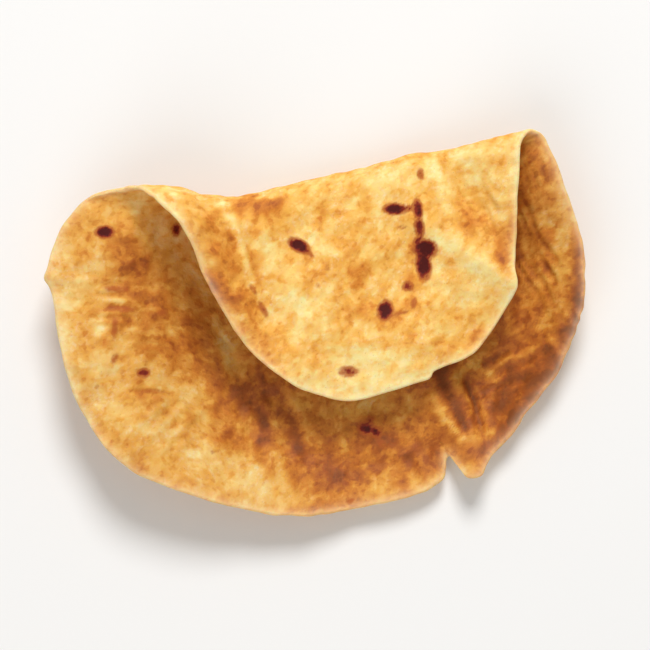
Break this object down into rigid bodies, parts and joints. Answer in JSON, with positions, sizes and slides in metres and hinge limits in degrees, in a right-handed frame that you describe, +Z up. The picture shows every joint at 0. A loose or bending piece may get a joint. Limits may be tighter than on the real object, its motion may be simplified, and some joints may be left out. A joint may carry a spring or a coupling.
{
  "type": "chapati flatbread",
  "caption": "Thin hand-rolled griddled flatbread with charred spots, lying folded over: a dished lower layer under a raised flap.",
  "frame": {"origin": "on the resting surface, under the middle of the bread's bounding box", "axes": "+X along the fold from its open end to its pointed end, +Y away towards the fold, +Z up"},
  "size_m": [0.1768, 0.1284, 0.0394],
  "materials": {
    "bread": "matte"
  },
  "bodies": {
    "root": {"chapati": "bread"}
  },
  "joints": []
}
